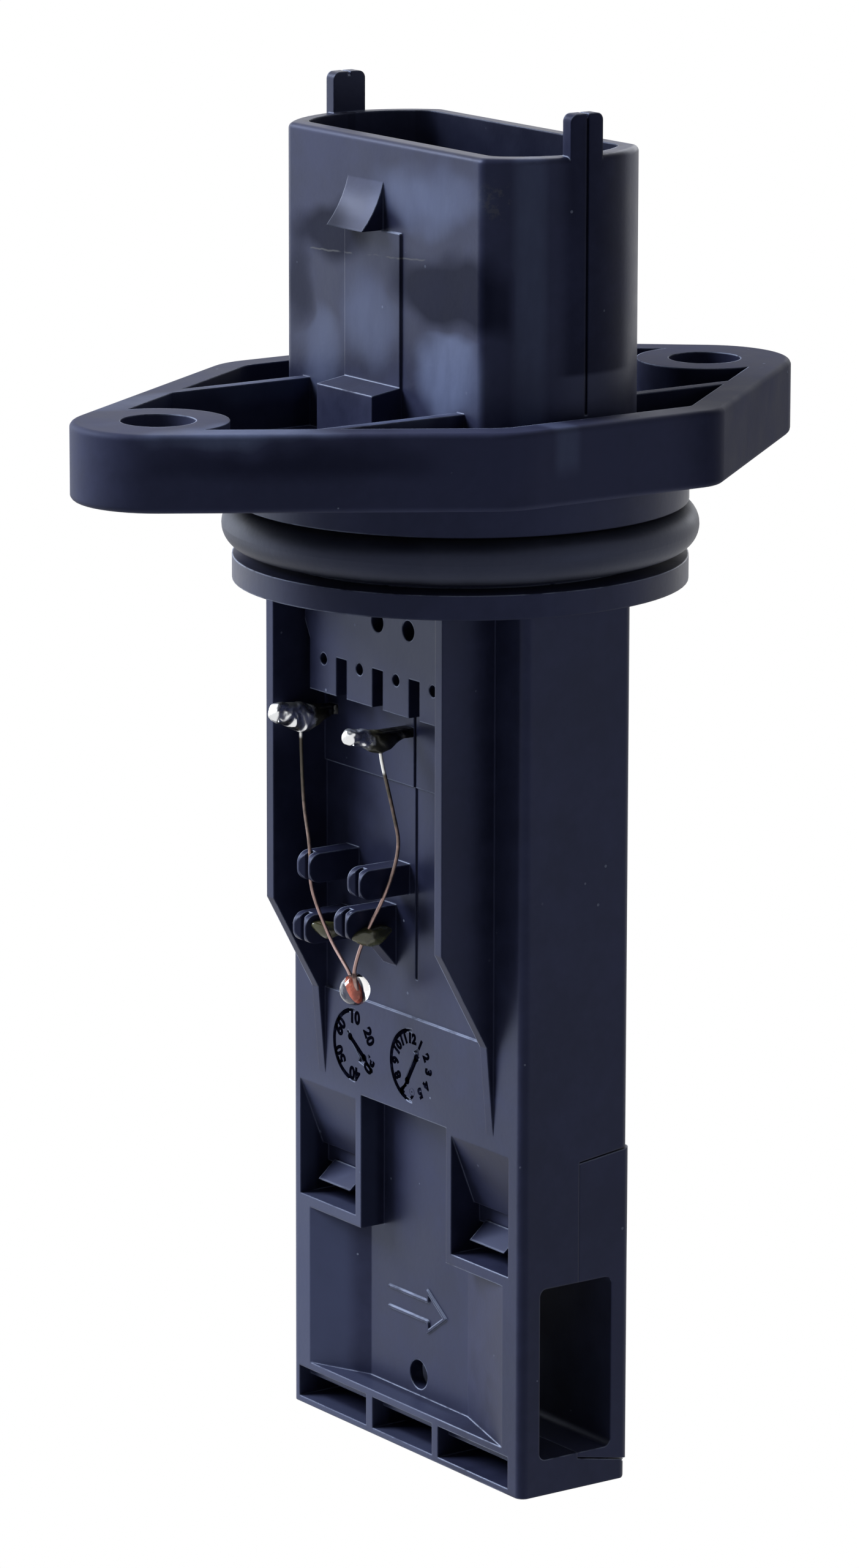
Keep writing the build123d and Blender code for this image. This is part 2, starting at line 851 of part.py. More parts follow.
# Terminals: blades with pointed tips, moulded into the floor of the socket
for number, x in enumerate(terminal_xs, start=1):
    with BuildPart() as terminal:
        slab(
            (x - terminal_width / 2, x + terminal_width / 2),
            (-terminal_thickness / 2, terminal_thickness / 2),
            (terminal_bottom, terminal_top),
        )
        chamfer(
            terminal.faces().sort_by(Axis.Z)[-1].edges().filter_by(Axis.X),
            length=terminal_thickness / 3,
            length2=terminal_point,
            reference=terminal.faces().sort_by(Axis.Z)[-1],
        )
    terminal.part.label = f"terminal_{number}"
    export_step(terminal.part, f"parts/terminal_{number}.step")

# Bond wires from the terminals to the board: a short leg, then half a turn
bond_z = terminal_bottom + bond_span / 2 - (terminal_bottom - board_top) / 2
with BuildPart() as bond_wires:
    for x in terminal_xs:
        with BuildLine() as bond_path:
            start = (x, terminal_thickness / 2, bond_z)
            foot = (x, board_rear, bond_z)
            Line(start, foot)
            ThreePointArc(
                foot,
                (x, board_rear + bond_span / 2, bond_z - bond_span / 2),
                (x, board_rear, bond_z - bond_span),
            )
        with BuildSketch(Plane(origin=start, z_dir=(0, 1, 0))):
            Rectangle(bond_side, bond_side)
        sweep(path=bond_path.wires()[0])
bond_wires.part.label = "bond_wires"
export_step(bond_wires.part, "parts/bond_wires.step")

# Sensor carrier with the sensing element let into its face
element_face = board_front - carrier_thickness + element_pocket
with BuildPart() as sensor_carrier:
    with BuildSketch(Plane.XZ.offset(-board_front)):
        with Locations((carrier_x, (carrier_top + carrier_bottom) / 2)):
            Rectangle(carrier_width, carrier_top - carrier_bottom)
    extrude(amount=carrier_thickness)
    chamfer(
        sensor_carrier.edges().filter_by(Axis.Y).group_by(Axis.Z)[0],
        carrier_width / 5,
    )
    slab(
        (carrier_x - element_width / 2, carrier_x + element_width / 2),
        (board_front - carrier_thickness, element_face),
        (element_z - element_height / 2, element_z + element_height / 2),
        mode=Mode.SUBTRACT,
    )
sensor_carrier.part.label = "sensor_carrier"
export_step(sensor_carrier.part, "parts/sensor_carrier.step")

with BuildPart() as sensing_element:
    slab(
        (carrier_x - element_width / 2, carrier_x + element_width / 2),
        (element_face - element_thickness, element_face),
        (element_z - element_height / 2, element_z + element_height / 2),
    )
sensing_element.part.label = "sensing_element"
export_step(sensing_element.part, "parts/sensing_element.step")

# Posts that carry the bead's leads
for side, x in posts.items():
    with BuildPart() as post:
        slab(
            (x - post_width / 2, x + post_width / 2),
            (post_front, board_front),
            (post_z - post_height / 2, post_z + post_height / 2),
        )
    post.part.label = f"bead_post_{side}"
    export_step(post.part, f"parts/bead_post_{side}.step")

# Leads: points down the bay, with each arc as large as its two runs allow
lead_points = {
    "left": [
        (post_left_x, -6.85, post_z - post_height / 2),
        (-8.4, -6.85, -20.4),
        (-7.75, -7.1, -23.6),
        (upper_left_hook_x, -7.45, -26.0),
        (upper_left_hook_x, -7.45, -28.6),
        (-5.9, -7.1, -30.5),
        (-4.7, -6.95, -32.2),
        (bead_centre[0] - 0.55, bead_centre[1], bead_centre[2] + 1.0),
        (bead_centre[0] - 0.15, bead_centre[1], bead_centre[2]),
    ],
    "right": [
        (post_right_x, -6.6, post_z - post_height / 2),
        (0.35, -6.45, -19.2),
        (0.75, -6.0, -21.8),
        (1.0, -5.5, -24.5),
        (0.8, -5.75, -26.3),
        (0.25, -6.28, -28.4),
        (-1.15, -6.42, -30.5),
        (-1.75, -6.85, -32.3),
        (bead_centre[0] - 0.15, bead_centre[1], bead_centre[2] + 1.1),
        (bead_centre[0] + 0.15, bead_centre[1], bead_centre[2]),
    ],
}


def arc_radii(points):
    # each corner's radius is 0.45 of the shorter run, divided by the tangent of half the turn
    corners = [Vector(*p) for p in points]
    radii = []
    for before, corner, after in zip(corners, corners[1:], corners[2:]):
        turn = (corner - before).get_angle(after - corner)
        run = min((corner - before).length, (after - corner).length)
        radii.append(0.45 * run / tan(radians(turn) / 2))
    return radii


lead_solids = {}
for side, points in lead_points.items():
    radii = arc_radii(points)
    with BuildPart() as lead_wire:
        with BuildLine() as route:
            FilletPolyline(*points, radius=radii)
        with BuildSketch(Plane(origin=route.line @ 0, z_dir=route.line % 0)):
            Circle(lead_diameter / 2)
        sweep(path=route.wires()[0])
    lead_wire.part.label = f"lead_wire_{side}"
    export_step(lead_wire.part, f"parts/lead_wire_{side}.step")
    lead_solids[side] = lead_wire.part
    length = route.wires()[0].length
    swept = pi * (lead_diameter / 2) ** 2 * length
    print(side, "lead radii", [round(r, 1) for r in radii], "length", round(length, 2))
    print(side, "lead volume", round(lead_wire.part.volume, 4), "section x length", round(swept, 4))

# Solder round the end of each post and the start of its lead
for side, x in posts.items():
    with BuildPart() as solder:
        drop((x, solder_centre_y, post_z - solder_drop), solder_radius, solder_half_length)
        slab(
            (x - post_width / 2, x + post_width / 2),
            (post_front, board_front),
            (post_z - post_height / 2, post_z + post_height / 2),
            mode=Mode.SUBTRACT,
        )
        add(lead_solids[side], mode=Mode.SUBTRACT)
    solder.part.label = f"solder_{side}"
    export_step(solder.part, f"parts/solder_{side}.step")

# Glass bead with the thermistor between the ends of its leads
with BuildPart() as thermistor:
    with Locations((bead_centre[0], bead_centre[1], bead_centre[2])):
        Box(thermistor_width, thermistor_depth, thermistor_height)
    for lead in lead_solids.values():
        add(lead, mode=Mode.SUBTRACT)
thermistor.part.label = "thermistor"
export_step(thermistor.part, "parts/thermistor.step")

with BuildPart() as glass_bead:
    with Locations(bead_centre):
        Sphere(bead_radius)
    add(thermistor.part, mode=Mode.SUBTRACT)
    for lead in lead_solids.values():
        add(lead, mode=Mode.SUBTRACT)
glass_bead.part.label = "glass_bead"
export_step(glass_bead.part, "parts/glass_bead.step")

# Drops of adhesive that hold the leads to the lower hooks
adhesive_drops = {
    "left": ((-5.75, -6.75, -31.3), 0.65, 1.0),
    "right": ((-1.2, -6.3, -31.0), 0.65, 1.3),
}
for side, (centre, radius, half_length) in adhesive_drops.items():
    with BuildPart() as adhesive:
        drop(centre, radius, half_length)
        add(main_housing.part, mode=Mode.SUBTRACT)
        add(lead_solids[side], mode=Mode.SUBTRACT)
    adhesive.part.label = f"adhesive_{side}"
    export_step(adhesive.part, f"parts/adhesive_{side}.step")
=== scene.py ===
import math

import bpy
import numpy as np
from mathutils import Matrix, Vector


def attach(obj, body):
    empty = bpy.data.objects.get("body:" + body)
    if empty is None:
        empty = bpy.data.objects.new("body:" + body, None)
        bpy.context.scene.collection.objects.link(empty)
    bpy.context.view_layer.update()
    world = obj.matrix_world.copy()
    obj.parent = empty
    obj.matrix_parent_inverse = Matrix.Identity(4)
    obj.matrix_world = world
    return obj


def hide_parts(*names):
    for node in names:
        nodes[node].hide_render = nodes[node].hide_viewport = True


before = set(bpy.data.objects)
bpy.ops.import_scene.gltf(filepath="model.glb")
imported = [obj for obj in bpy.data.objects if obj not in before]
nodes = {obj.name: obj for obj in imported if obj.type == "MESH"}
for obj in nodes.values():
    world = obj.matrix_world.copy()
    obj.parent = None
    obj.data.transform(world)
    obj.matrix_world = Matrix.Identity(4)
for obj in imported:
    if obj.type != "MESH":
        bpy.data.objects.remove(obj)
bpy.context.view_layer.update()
print("frame loaded:", len(nodes), "nodes")

mm = 0.001


# a shader socket that can be reckoned with, where each operation adds its node
class Link:
    def __init__(self, tree, socket):
        self.tree = tree
        self.socket = socket

    def make(self, kind, inputs=(), out=0, **settings):
        node = self.tree.nodes.new(kind)
        for key, value in settings.items():
            setattr(node, key, value)
        for key, value in dict(inputs).items():
            plug(node.inputs[key], value)
        return Link(self.tree, node.outputs[out])

    def math(self, operation, *values):
        return self.make("ShaderNodeMath", enumerate(values), operation=operation)

    def __add__(self, other):
        return self.math("ADD", self, other)

    def __sub__(self, other):
        return self.math("SUBTRACT", self, other)

    def __mul__(self, other):
        return self.math("MULTIPLY", self, other)

    def __truediv__(self, other):
        return self.math("DIVIDE", self, other)

    def __pow__(self, other):
        return self.math("POWER", self, other)

    def __rsub__(self, other):
        return self.math("SUBTRACT", other, self)

    def __abs__(self):
        return self.math("ABSOLUTE", self)

    __radd__ = __add__

    def least(self, other):
        return self.math("MINIMUM", self, other)

    def most(self, other):
        return self.math("MAXIMUM", self, other)

    def less(self, other):
        return self.math("LESS_THAN", self, other)

    # 0 below low, 1 above high, smooth between
    def step(self, low, high):
        return self.make(
            "ShaderNodeMapRange",
            {"Value": self, "From Min": low, "From Max": high},
            interpolation_type="SMOOTHSTEP",
        )

    # 0 up to limit, rising to 1 over soft
    def over(self, limit, soft):
        return self.step(limit, limit + soft)

    # 1 up to limit, falling to 0 over soft
    def under(self, limit, soft):
        return 1 - self.step(limit, limit + soft)

    def axis(self, index):
        return self.make("ShaderNodeSeparateXYZ", {0: self}, out=index)

    def noise(self, scale, detail=3.0, roughness=0.55, distortion=0.0):
        wires = {"Vector": self, "Scale": scale, "Detail": detail}
        wires.update({"Roughness": roughness, "Distortion": distortion})
        return self.make("ShaderNodeTexNoise", wires)

    def cells(self, scale):
        return self.make("ShaderNodeTexVoronoi", {"Vector": self, "Scale": scale})

    def scaled(self, factors):
        return self.make("ShaderNodeVectorMath", {0: self, 1: factors}, operation="MULTIPLY")

    def dot(self, other):
        return self.make("ShaderNodeVectorMath", {0: self, 1: other}, out=1, operation="DOT_PRODUCT")

    # distance in millimetres from a point, seen along Y
    def reach(self, x, z):
        across = (self.axis(0) * 1000 - x) ** 2
        return (across + (self.axis(2) * 1000 - z) ** 2) ** 0.5

    # blend of two colours by self
    def between(self, first, second):
        return self.make("ShaderNodeMix", {0: self, 6: first, 7: second}, out=2, data_type="RGBA")

    def bump(self, height, strength, under=None):
        wires = {"Height": height, "Strength": strength, "Distance": mm}
        if under is not None:
            wires["Normal"] = under
        return self.make("ShaderNodeBump", wires)


def plug(target, value):
    if isinstance(value, Link):
        value.tree.links.new(value.socket, target)
    elif target.type == "RGBA" and len(value) == 3:
        target.default_value = (*value, 1.0)
    else:
        target.default_value = value


# build gives what varies, from Object coordinates; fixed values keep the shader's own sockets
def newMaterial(name, build, **fixed):
    material = bpy.data.materials.new(name)
    material.use_nodes = True
    tree = material.node_tree
    tree.nodes.clear()
    shader = tree.nodes.new("ShaderNodeBsdfPrincipled")
    output = tree.nodes.new("ShaderNodeOutputMaterial")
    tree.links.new(shader.outputs[0], output.inputs[0])
    for key, value in fixed.items():
        plug(shader.inputs[key.replace("_", " ")], value)
    coords = Link(tree, tree.nodes.new("ShaderNodeTexCoord").outputs["Object"])
    values = build(coords)
    shade = values.pop("Shade", None)
    for key, value in values.items():
        plug(shader.inputs[key], value)
    if shade is not None:
        addShade(tree, shader, output, shade, values)
    return material


# the housing's second, duller shader, which takes over where shade is 1
def addShade(tree, shader, output, shade, values):
    dull = tree.nodes.new("ShaderNodeBsdfPrincipled")
    dull.inputs["Specular IOR Level"].default_value = housingLook["dullLevel"]
    plug(dull.inputs["Specular Tint"], plasticTint)
    for key, value in values.items():
        plug(dull.inputs[key], value)
    mix = tree.nodes.new("ShaderNodeMixShader")
    plug(mix.inputs[0], shade)
    tree.links.new(shader.outputs[0], mix.inputs[1])
    tree.links.new(dull.outputs[0], mix.inputs[2])
    tree.links.new(mix.outputs[0], output.inputs[0])


def dress(obj, material):
    obj.data.materials.clear()
    obj.data.materials.append(material)


# dark blue moulded plastic, with dust and sink marks, and a painted highlight on the edges that face the
# light; pattern scales are per metre
housingLook = {
    "deep": (0.0122, 0.0138, 0.0315),
    "pale": (0.0225, 0.0252, 0.0550),
    "dust": (0.20, 0.22, 0.29),
    "lightened": (0.34, 0.38, 0.51),
    "gloss": 0.2,
    "dullLevel": 0.05,
    # clouds and finer blotches share the tone and the roughness
    "cloudScale": 90,
    "blotchFiner": 6,
    "blotchShare": 0.3,
    "toneSpan": (0.36, 0.66),
    "roughness": 0.4,
    "cloudRoughness": 0.26,
    "blotchRoughness": 0.14,
    "blotchHeight": 0.02,
    # grain of the mould and slow waves of shrinkage
    "grainScale": 2600,
    "grainHeight": 0.012,
    "waveScale": 150,
    "waveHeight": 0.22,
    # specks of dust, in patches
    "fleckScale": 560,
    "fleckSize": 0.055,
    "dustScale": 300,
    "dustSpan": (0.52, 0.57),
    "dustAmount": 0.55,
    "dustRoughness": 0.2,
    # painted highlight on edges that face up, or down towards the front, broken into patches
    "edgeRadius": 0.17 * mm,
    "highlightDirection": (-0.2, -0.9, 0.4),
    "highlightFront": (0.2, 0.5),
    "highlightDown": (0.12, 0.4),
    "highlightUp": (0.1, 0.5),
    "highlightSpan": (0.015, 0.15),
    "highlightPatches": (0.28, 0.52),
    "highlightAmount": 0.9,
    "highlightRoughness": -0.08,
}
plasticTint = (0.5, 0.58, 1.0, 1.0)

# marks on the housing, in millimetres: painted sheen and painted shade in clouds, a scuff and a smudge,
# painted shade inside the socket, a painted highlight and painted light on two faces, and where it is
# duller
housingMarks = {
    "connectorFace": -6.0,
    "paintedSheenColour": (0.115, 0.138, 0.235),
    "shade": (0.0035, 0.0042, 0.0115),
    # painted reflections on the connector's front: a painted sheen where tone is above 0, painted shade and
    # a duller finish below 0, which fade behind it and at its foot: place, half sizes, tone
    "clouds": (
        (7.2, 12.2, 7.8, 3.3, -1.5),
        (-5.6, 15.0, 5.8, 2.4, -1.25),
        (9.5, 3.2, 6.0, 2.2, -0.7),
        (-9.6, 11.0, 1.9, 4.2, -0.8),
        (7.6, 7.4, 4.6, 3.8, 1.0),
        (-1.4, 9.4, 3.8, 4.2, 0.5),
        (4.6, 18.4, 7.0, 3.0, 0.6),
        (-7.0, 7.0, 3.0, 4.0, 0.45),
    ),
    "drift": 5.0,
    "driftScale": (150, 130),
    "glossDepth": (0.9, 0.7),
    "glossFoot": (1.5, 1.5),
    "paintedSheenShare": 0.75,
    "shadeAmount": 0.7,
    # painted highlight in a band down the connector's right end, from start along X, about middle along Y
    "highlightBand": {"start": 11.6, "middle": -3.7, "half": 1.2, "amount": 0.4},
    # painted shade inside the socket, whose length narrows towards its sides
    "socket": {"halfLength": 12.55, "narrowing": 0.36, "halfWidth": 5.05, "floor": 6.0},
    # the flange is rougher, outside an oval round the connector
    "flange": {"halfLength": 15.0, "halfWidth": 8.5, "low": -0.3, "high": 7.4, "rougher": 0.24},
    # dull right ends: the flange's from a place along Y, the connector's from places along X and Y
    "dullEnds": {"flangeY": 4.0, "connectorX": 12.4, "connectorY": -2.5},
    # painted light: the lower left of the wide face made paler
    "paintedLitFace": {"top": -46.0, "end": 1.0, "front": -3.2, "colour": (0.047, 0.054, 0.100), "amount": 0.6},
    "scuff": {
        "start": (-8.9, 13.5), "end": (5.3, 14.3), "halfWidth": 0.07, "drift": 0.35,
        "driftScale": 700, "breakScale": 420, "breaks": (0.47, 0.55), "amount": 0.8, "rougher": 0.2,
    },
    "smudge": {
        "x": 11.6, "z": 18.8, "reach": 1.6, "front": -5.0,
        "grainScale": 1300, "grains": (0.5, 0.62), "amount": 0.3, "rougher": 0.2,
    },
    "scuffColour": (0.09, 0.09, 0.095),
}


def plasticCore(p, look):
    cloud = p.noise(look["cloudScale"], 4, 0.6)
    blotch = p.noise(look["cloudScale"] * look["blotchFiner"], 3, 0.6)
    grain = p.noise(look["grainScale"], 2, 0.5)
    wave = p.noise(look["waveScale"], 1, 0.4)
    tone = (cloud * (1 - look["blotchShare"]) + blotch * look["blotchShare"]).step(*look["toneSpan"])
    patches = p.noise(look["dustScale"], 1).step(*look["dustSpan"])
    dust = p.cells(look["fleckScale"]).less(look["fleckSize"]) * patches
    edge = p.make("ShaderNodeBevel", {"Radius": look["edgeRadius"]}, samples=6)
    plain = p.make("ShaderNodeNewGeometry", out=1)
    # painted highlight: edges that face the light are made paler, in patches
    lightened = (1 - edge.dot(plain)).step(*look["highlightSpan"]) * wearFacing(edge, look)
    lightened = lightened * blotch.step(*look["highlightPatches"])
    colour = tone.between(look["deep"], look["pale"])
    colour = (dust * look["dustAmount"]).between(colour, look["dust"])
    colour = (lightened * look["highlightAmount"]).between(colour, look["lightened"])
    rough = (cloud - 0.5) * look["cloudRoughness"] + (blotch - 0.5) * look["blotchRoughness"]
    rough = look["roughness"] + rough + dust * look["dustRoughness"] + lightened * look["highlightRoughness"]
    height = grain * look["grainHeight"] + blotch * look["blotchHeight"] + wave * look["waveHeight"]
    return colour, rough, p.bump(height, 0.5, under=edge)


# 1 where a normal faces up, or down and towards the front: where edges get the painted highlight
def wearFacing(normal, look):
    level = normal.axis(2)
    front = normal.dot(look["highlightDirection"]).step(*look["highlightFront"])
    down = (level * -1).step(*look["highlightDown"])
    return level.step(*look["highlightUp"]).most(front * down)


# the covers: the same plastic, with wider clouds and a little rougher
coverLook = {**housingLook, "cloudScale": 70, "roughness": 0.44}


def coverSkin(p):
    colour, rough, normal = plasticCore(p, coverLook)
    return {"Base Color": colour, "Roughness": rough, "Normal": normal}


# above 0 a painted sheen, below 0 painted shade and a duller finish; each cloud is an oval that fades from
# its middle and drifts, and the band adds a painted highlight
def unevenGloss(p, x, y, z, m):
    scaleX, scaleZ = m["driftScale"]
    driftX = (p.noise(scaleX, 2) - 0.5) * m["drift"]
    driftZ = (p.scaled((1, 1, 1.3)).noise(scaleZ, 2) - 0.5) * m["drift"]
    cloud = 0
    for cx, cz, wide, high, tone in m["clouds"]:
        far = ((x - cx + driftX) / wide) ** 2 + ((z - cz + driftZ) / high) ** 2
        cloud = far.under(0.0, 1.0) * tone + cloud
    b = m["highlightBand"]
    highlightBand = (((y - b["middle"]) / b["half"]) ** 2).under(0.0, 1.0) * x.over(b["start"], 0.6) * b["amount"]
    depth, soft = m["glossDepth"]
    return (cloud * y.under(m["connectorFace"] + depth, soft) + highlightBand) * z.over(*m["glossFoot"])


def inSocket(x, y, z, s):
    along = abs(x) + abs(y) * s["narrowing"]
    return along.under(s["halfLength"], 0.1) * abs(y).under(s["halfWidth"], 0.1) * z.over(s["floor"], 0.5)


# a thin broken line from start to end across the connector's front
def scuffMask(p, x, y, z, s, face):
    (x0, z0), (x1, z1) = s["start"], s["end"]
    slope = (z1 - z0) / (x1 - x0)
    off = (z - (x - x0) * slope - z0 + (p.noise(s["driftScale"], 2) - 0.5) * s["drift"]) ** 2
    span = x.over(x0, 0.4) * x.under(x1 - 0.4, 0.4) * y.under(face, 0.05)
    return off.under(0.0, s["halfWidth"] ** 2) * span * p.noise(s["breakScale"], 2).step(*s["breaks"])


def smudgeMask(p, y, s):
    spot = p.reach(s["x"], s["z"]).under(s["reach"] * 0.3, s["reach"] * 0.7)
    return spot * p.noise(s["grainScale"], 3, 0.7).step(*s["grains"]) * y.under(s["front"], 0.5)


def onFlange(x, y, z, s):
    oval = (x / s["halfLength"]) ** 2 + (y / s["halfWidth"]) ** 2
    return oval.over(1.0, 0.2) * z.over(s["low"], 0.2) * z.under(s["high"], 0.2)


def housingSkin(p):
    m = housingMarks
    colour, rough, normal = plasticCore(p, housingLook)
    x, y, z = (p.axis(i) * 1000 for i in range(3))
    # painted sheen and painted shade in clouds on the connector's front
    gloss = unevenGloss(p, x, y, z, m)
    sheenStreaks = 0.6 + p.scaled((1, 1, 0.35)).noise(700, 3, 0.6) * 0.8
    colour = ((gloss * sheenStreaks).most(0) * m["paintedSheenShare"]).between(colour, m["paintedSheenColour"])
    shade = (gloss * -1).most(0).least(1)
    # painted shade: the clouds' dark side and the inside of the socket
    dark = shade.most(inSocket(x, y, z, m["socket"]))
    colour = (dark * m["shadeAmount"]).between(colour, m["shade"])
    # painted light on the lower left of the wide face
    face = m["paintedLitFace"]
    paintedLight = z.under(face["top"], 5.0) * x.under(face["end"], 4.0) * y.under(face["front"], 0.6)
    colour = (paintedLight * face["amount"]).between(colour, face["colour"])
    scuff = scuffMask(p, x, y, z, m["scuff"], m["connectorFace"])
    colour = (scuff * m["scuff"]["amount"]).between(colour, m["scuffColour"])
    smudge = smudgeMask(p, y, m["smudge"])
    colour = (smudge * m["smudge"]["amount"]).between(colour, m["scuffColour"])
    flange = onFlange(x, y, z, m["flange"])
    for mask, place in ((scuff, "scuff"), (smudge, "smudge"), (flange, "flange")):
        rough = rough + mask * m[place]["rougher"]
    ends = m["dullEnds"]
    dull = x.over(ends["connectorX"], 0.8) * y.over(ends["connectorY"], 1.5)
    dull = (dull * z.over(m["flange"]["high"], 0.4)).most(flange * y.over(ends["flangeY"], 5.0))
    return {"Base Color": colour, "Roughness": rough, "Normal": normal, "Shade": shade.most(dull)}


plasticShine = {"Specular_Tint": plasticTint, "Specular_IOR_Level": housingLook["gloss"]}
housingPlastic = newMaterial("housing_plastic", housingSkin, **plasticShine)
coverPlastic = newMaterial("cover_plastic", coverSkin, **plasticShine)

# seal of black rubber, dull, with a faint bloom
sealLook = {
    "deep": (0.0085, 0.0095, 0.0145),
    "bloom": (0.017, 0.0185, 0.027),
    "bloomScale": 160,
    "grainScale": 3000,
    "roughness": 0.5,
    "bloomRoughness": 0.25,
}


def rubber(p):
    bloom = p.noise(sealLook["bloomScale"], 4, 0.65)
    grain = p.noise(sealLook["grainScale"], 2)
    colour = bloom.step(0.4, 0.7).between(sealLook["deep"], sealLook["bloom"])
    rough = sealLook["roughness"] + (bloom - 0.5) * sealLook["bloomRoughness"]
    return {"Base Color": colour, "Roughness": rough, "Normal": p.bump(grain * 0.02 + bloom * 0.03, 0.5)}


sealRubber = newMaterial("seal_rubber", rubber, Specular_Tint=plasticTint, Specular_IOR_Level=0.4)

# tinned metal of the terminals and the bond wires, with stains
tinLook = {"bright": (0.72, 0.71, 0.67), "dull": (0.42, 0.4, 0.33)}


def tinned(p):
    stain = p.noise(900, 4, 0.6)
    colour = stain.step(0.45, 0.7).between(tinLook["bright"], tinLook["dull"])
    return {
        "Base Color": colour,
        "Roughness": 0.22 + stain * 0.25,
        "Normal": p.bump(p.noise(2400, 3) * 0.04, 0.6),
    }


tinnedMetal = newMaterial("tinned_metal", tinned, Metallic=1.0)

# solder and the posts in it: bright at the outer end, under dark olive flux towards the post's root, and
# darker still further in
solderLook = {
    "bright": (0.8, 0.81, 0.82),
    "flux": (0.034, 0.032, 0.019),
    "rootDark": (0.007, 0.007, 0.0075),
    "fluxStart": {"left": -6.5, "right": -7.9},
    "fluxFade": 0.5,
    "rootDarkSpan": (0.7, 1.8),
    "drift": 1.8,
}


def solderSkin(side):
    start = solderLook["fluxStart"][side]

    def build(p):
        ripple = p.noise(600, 0.6, 0.4, 1.4)
        inward = p.axis(1) * 1000 - start + (p.noise(1300, 4, 0.6) - 0.5) * solderLook["drift"]
        flux = inward.over(0.0, solderLook["fluxFade"])
        rootDark = inward.step(*solderLook["rootDarkSpan"])
        coat = rootDark.between(solderLook["flux"], solderLook["rootDark"])
        return {
            "Base Color": flux.between(solderLook["bright"], coat),
            "Metallic": 1.0 - flux * 0.85,
            "Roughness": 0.2 + ripple * 0.16 + flux * 0.08,
            "Normal": p.bump(ripple * 0.6 + p.noise(3200, 2) * 0.02, 0.9),
        }

    return build


solderMetal = {side: newMaterial("solder_" + side, solderSkin(side)) for side in ("left", "right")}

# leads: tinned where they leave the solder, then lacquered copper gone dull
leadLook = {
    "tin": (0.8, 0.79, 0.76),
    "copper": (0.33, 0.22, 0.2),
    "dark": (0.075, 0.066, 0.054),
    "tinEnd": {"left": -19.0, "right": -19.9},
    # along X, between the two leads
    "middle": -4.0,
    # duller upwards from this height, in millimetres, by so much for each
    "patinaStart": -32.0,
    "patinaRise": 0.035,
    "patinaSpan": (0.25, 0.66),
}


def leadSkin(p):
    look = leadLook
    height = p.axis(2) * 1000
    left, right = look["tinEnd"]["left"], look["tinEnd"]["right"]
    above = height - (p.axis(0) * 1000).over(look["middle"], 1.0) * (right - left) - left
    tin = above.over(-0.15, 0.3)
    rise = (height - look["patinaStart"]) * look["patinaRise"]
    patina = (p.noise(1500, 3) * 0.5 + rise).step(*look["patinaSpan"])
    copper = patina.between(look["copper"], look["dark"])
    return {
        "Base Color": tin.between(copper, look["tin"]),
        "Roughness": 0.34 + patina * 0.16,
        "Normal": p.bump(p.noise(4200, 2) * 0.03, 0.5),
    }


leadMetal = newMaterial("lead_metal", leadSkin, Metallic=0.85)

# bead: clear glass over a brick-red thermistor
glassLook = {"tint": (0.99, 0.985, 0.98), "haze": (0.95, 0.93, 0.92), "roughness": 0.01}


def glassSkin(p):
    wave = p.noise(700, 2)
    return {
        "Base Color": wave.between(glassLook["tint"], glassLook["haze"]),
        "Roughness": glassLook["roughness"] + wave * 0.03,
        "Normal": p.bump(wave * 0.08, 0.4),
    }


beadGlass = newMaterial("bead_glass", glassSkin, Transmission_Weight=1.0, IOR=1.45)

thermistorLook = {"brick": (0.42, 0.085, 0.04), "burnt": (0.22, 0.035, 0.018)}


def thermistorSkin(p):
    mottled = p.noise(2500, 4).step(0.4, 0.65)
    return {
        "Base Color": mottled.between(thermistorLook["brick"], thermistorLook["burnt"]),
        "Roughness": 0.55 + mottled * 0.2,
        "Normal": p.bump(mottled * 0.03, 0.6),
    }


thermistorCeramic = newMaterial("thermistor_ceramic", thermistorSkin, Specular_IOR_Level=0.3)

# adhesive: olive to brown, glossy
adhesiveLook = {"olive": (0.085, 0.086, 0.034), "brown": (0.04, 0.038, 0.016)}


def adhesiveSkin(p):
    swirl = p.noise(1200, 3, 0.6, 0.5)
    return {
        "Base Color": swirl.step(0.4, 0.65).between(adhesiveLook["olive"], adhesiveLook["brown"]),
        "Roughness": 0.2 + swirl * 0.16,
        "Normal": p.bump(swirl * 0.08, 0.5),
    }


adhesiveResin = newMaterial("adhesive_resin", adhesiveSkin, Coat_Weight=0.3)

# circuit board behind the lid, with the weave of its laminate
boardLook = {"mask": (0.015, 0.085, 0.045), "weave": (0.03, 0.13, 0.065)}


def boardSkin(p):
    weave = p.scaled((1, 0, 1)).noise(1800, 1)
    blot = p.noise(260, 3)
    return {
        "Base Color": weave.step(0.42, 0.6).between(boardLook["mask"], boardLook["weave"]),
        "Roughness": 0.3 + blot * 0.2,
        "Normal": p.bump(weave * 0.03, 0.5),
    }


boardLaminate = newMaterial("board_laminate", boardSkin, Coat_Weight=0.3)


# what sits on the board, and the sensor's carrier: two tones and a roughness
bodyLooks = {
    "chip_plastic": ((0.012, 0.012, 0.013), (0.022, 0.022, 0.024), 0.55),
    "capacitor_body": ((0.36, 0.24, 0.13), (0.27, 0.17, 0.09), 0.4),
    "resistor_body": ((0.014, 0.014, 0.016), (0.03, 0.03, 0.032), 0.35),
    "carrier_plastic": ((0.02, 0.02, 0.022), (0.035, 0.035, 0.038), 0.5),
}


def bodySkin(first, second, roughness):
    def build(p):
        mottled = p.noise(1600, 4, 0.6)
        return {
            "Base Color": mottled.step(0.38, 0.66).between(first, second),
            "Roughness": roughness + (mottled - 0.5) * 0.2,
            "Normal": p.bump(mottled * 0.03, 0.5),
        }

    return build


bodies = {name: newMaterial(name, bodySkin(*look)) for name, look in bodyLooks.items()}

